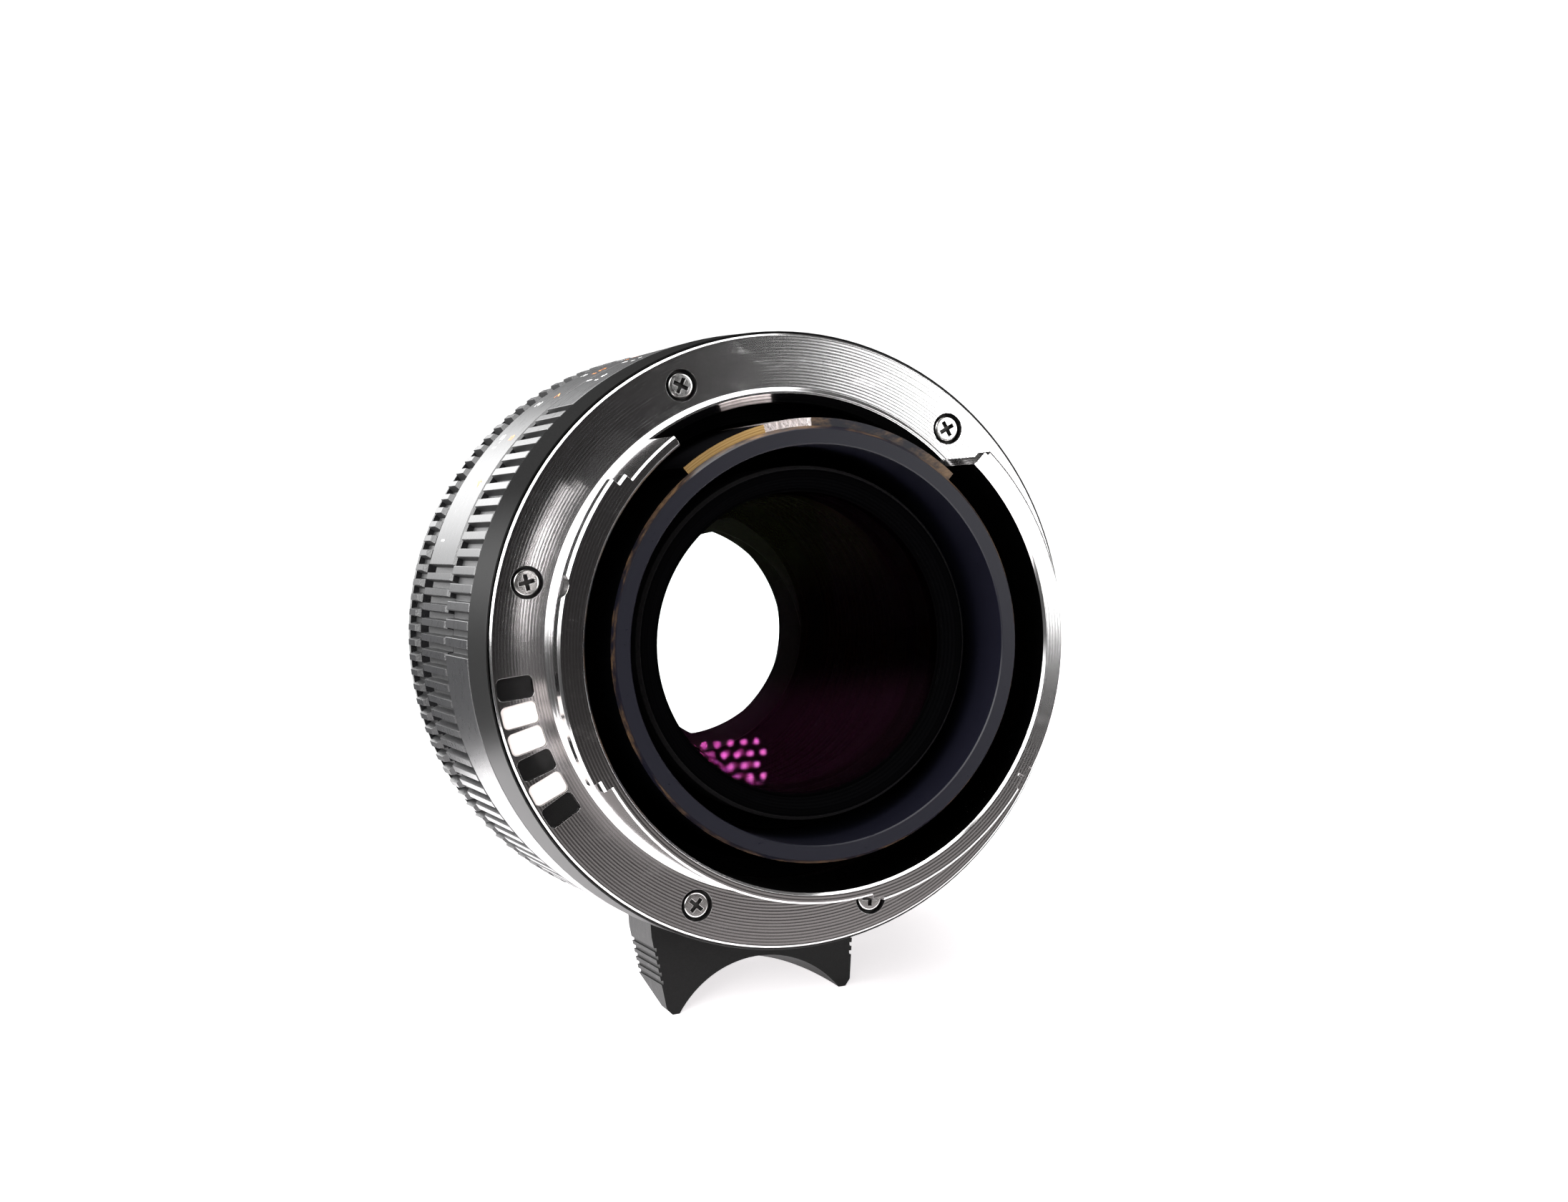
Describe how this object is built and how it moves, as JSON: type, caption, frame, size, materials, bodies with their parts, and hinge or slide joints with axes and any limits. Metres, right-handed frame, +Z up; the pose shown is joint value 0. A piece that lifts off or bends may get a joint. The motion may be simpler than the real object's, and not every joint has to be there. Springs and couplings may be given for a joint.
{
  "type": "prime camera lens",
  "caption": "Compact manual-focus prime lens with bayonet mount, ribbed focusing ring with finger tab, rangefinder cam and working iris diaphragm.",
  "frame": {"origin": "centre of the bayonet's flange seat, on the optical axis", "axes": "+Y along the optical axis towards the front of the lens, +Z up, focusing tab hanging straight down along -Z at infinity focus"},
  "size_m": [0.0526, 0.0449, 0.0595],
  "materials": {
    "chrome_mount": "turned, satin chrome plate",
    "screw_steel": "polished",
    "code_white": "enamel fill",
    "code_black": "enamel fill",
    "satin_black": "satin black anodised aluminium",
    "index_red": "glossy bead",
    "barrel_aluminium": "black anodised",
    "helicoid_brass": "lapped",
    "cam_black": "blackened brass with bare edges",
    "matt_black": "matt black paint",
    "coated_glass": "coated, polished",
    "blade_black": "matt blackened steel",
    "spring_steel": "spring steel"
  },
  "bodies": {
    "mount_body": {"bayonet_ring": "chrome_mount", "mount_screws": "screw_steel", "code_inserts_white": "code_white", "code_inserts_black": "code_black", "rear_collar": "satin_black", "index_bead": "index_red", "depth_scale_ring": "satin_black", "main_barrel": "barrel_aluminium", "guide_keys": "screw_steel"},
    "focus_body": {"focus_ring": "satin_black", "tab_screws": "screw_steel", "focus_tab": "satin_black", "focus_helicoid": "helicoid_brass"},
    "cam_body": {"cam_ring": "cam_black"},
    "head_body": {"head_helicoid": "barrel_aluminium", "lens_tube": "matt_black", "rear_cell": "matt_black", "rear_element": "coated_glass", "rear_spacer": "matt_black", "inner_rear_element": "coated_glass", "rear_retaining_ring": "matt_black", "iris_housing": "matt_black", "click_ball": "screw_steel", "click_spring": "spring_steel", "iris_cover": "matt_black", "front_cell": "matt_black", "inner_front_element": "coated_glass", "front_spacer": "matt_black", "front_element": "coated_glass", "front_retaining_ring": "matt_black", "filter_ring": "satin_black"},
    "aperture_body": {"aperture_ring": "satin_black", "iris_drive_ring": "barrel_aluminium", "drive_screw": "screw_steel"},
    "blade_body_01": {"iris_blade_01": "blade_black"},
    "blade_body_02": {"iris_blade_02": "blade_black"},
    "blade_body_03": {"iris_blade_03": "blade_black"},
    "blade_body_04": {"iris_blade_04": "blade_black"},
    "blade_body_05": {"iris_blade_05": "blade_black"},
    "blade_body_06": {"iris_blade_06": "blade_black"},
    "blade_body_07": {"iris_blade_07": "blade_black"},
    "blade_body_08": {"iris_blade_08": "blade_black"},
    "blade_body_09": {"iris_blade_09": "blade_black"},
    "blade_body_10": {"iris_blade_10": "blade_black"},
    "blade_body_11": {"iris_blade_11": "blade_black"}
  },
  "joints": [
    {"name": "focus_turn", "type": "hinge", "parent": "mount_body", "child": "focus_body", "pos_m": [0, 0.0187, 0], "axis": [0, 1, 0], "range_deg": [0, 95]},
    {"name": "head_slide", "type": "slide", "parent": "mount_body", "child": "head_body", "axis": [0, 1, 0], "range_m": [0, 0.002]},
    {"name": "cam_slide", "type": "slide", "parent": "mount_body", "child": "cam_body", "axis": [0, 1, 0], "range_m": [0, 0.0042]},
    {"name": "aperture_turn", "type": "hinge", "parent": "head_body", "child": "aperture_body", "pos_m": [0, 0.028, 0], "axis": [0, -1, 0], "range_deg": [-9, 45]},
    {"name": "blade_turn_01", "type": "hinge", "parent": "head_body", "child": "blade_body_01", "pos_m": [0.017, 0.0271, 0], "axis": [0, -1, 0], "range_deg": [-5.55, 27.55]},
    {"name": "blade_turn_02", "type": "hinge", "parent": "head_body", "child": "blade_body_02", "pos_m": [0.0143, 0.02722, 0.00919], "axis": [0, -1, 0], "range_deg": [-5.55, 27.55]},
    {"name": "blade_turn_03", "type": "hinge", "parent": "head_body", "child": "blade_body_03", "pos_m": [0.00706, 0.02734, 0.01546], "axis": [0, -1, 0], "range_deg": [-5.55, 27.55]},
    {"name": "blade_turn_04", "type": "hinge", "parent": "head_body", "child": "blade_body_04", "pos_m": [-0.00242, 0.02746, 0.01683], "axis": [0, -1, 0], "range_deg": [-5.55, 27.55]},
    {"name": "blade_turn_05", "type": "hinge", "parent": "head_body", "child": "blade_body_05", "pos_m": [-0.01113, 0.02758, 0.01285], "axis": [0, -1, 0], "range_deg": [-5.55, 27.55]},
    {"name": "blade_turn_06", "type": "hinge", "parent": "head_body", "child": "blade_body_06", "pos_m": [-0.01631, 0.0277, 0.00479], "axis": [0, -1, 0], "range_deg": [-5.55, 27.55]},
    {"name": "blade_turn_07", "type": "hinge", "parent": "head_body", "child": "blade_body_07", "pos_m": [-0.01631, 0.02782, -0.00479], "axis": [0, -1, 0], "range_deg": [-5.55, 27.55]},
    {"name": "blade_turn_08", "type": "hinge", "parent": "head_body", "child": "blade_body_08", "pos_m": [-0.01113, 0.02794, -0.01285], "axis": [0, -1, 0], "range_deg": [-5.55, 27.55]},
    {"name": "blade_turn_09", "type": "hinge", "parent": "head_body", "child": "blade_body_09", "pos_m": [-0.00242, 0.02806, -0.01683], "axis": [0, -1, 0], "range_deg": [-5.55, 27.55]},
    {"name": "blade_turn_10", "type": "hinge", "parent": "head_body", "child": "blade_body_10", "pos_m": [0.00706, 0.02818, -0.01546], "axis": [0, -1, 0], "range_deg": [-5.55, 27.55]},
    {"name": "blade_turn_11", "type": "hinge", "parent": "head_body", "child": "blade_body_11", "pos_m": [0.0143, 0.0283, -0.00919], "axis": [0, -1, 0], "range_deg": [-5.55, 27.55]}
  ],
  "couplings": [
    {"joint": "head_slide", "follows": "focus_turn", "m_per_rad": 0.0012002},
    {"joint": "cam_slide", "follows": "focus_turn", "m_per_rad": 0.002527},
    {"joint": "blade_turn_01", "follows": "aperture_turn", "ratio": 0.61111},
    {"joint": "blade_turn_02", "follows": "aperture_turn", "ratio": 0.61111},
    {"joint": "blade_turn_03", "follows": "aperture_turn", "ratio": 0.61111},
    {"joint": "blade_turn_04", "follows": "aperture_turn", "ratio": 0.61111},
    {"joint": "blade_turn_05", "follows": "aperture_turn", "ratio": 0.61111},
    {"joint": "blade_turn_06", "follows": "aperture_turn", "ratio": 0.61111},
    {"joint": "blade_turn_07", "follows": "aperture_turn", "ratio": 0.61111},
    {"joint": "blade_turn_08", "follows": "aperture_turn", "ratio": 0.61111},
    {"joint": "blade_turn_09", "follows": "aperture_turn", "ratio": 0.61111},
    {"joint": "blade_turn_10", "follows": "aperture_turn", "ratio": 0.61111},
    {"joint": "blade_turn_11", "follows": "aperture_turn", "ratio": 0.61111}
  ]
}
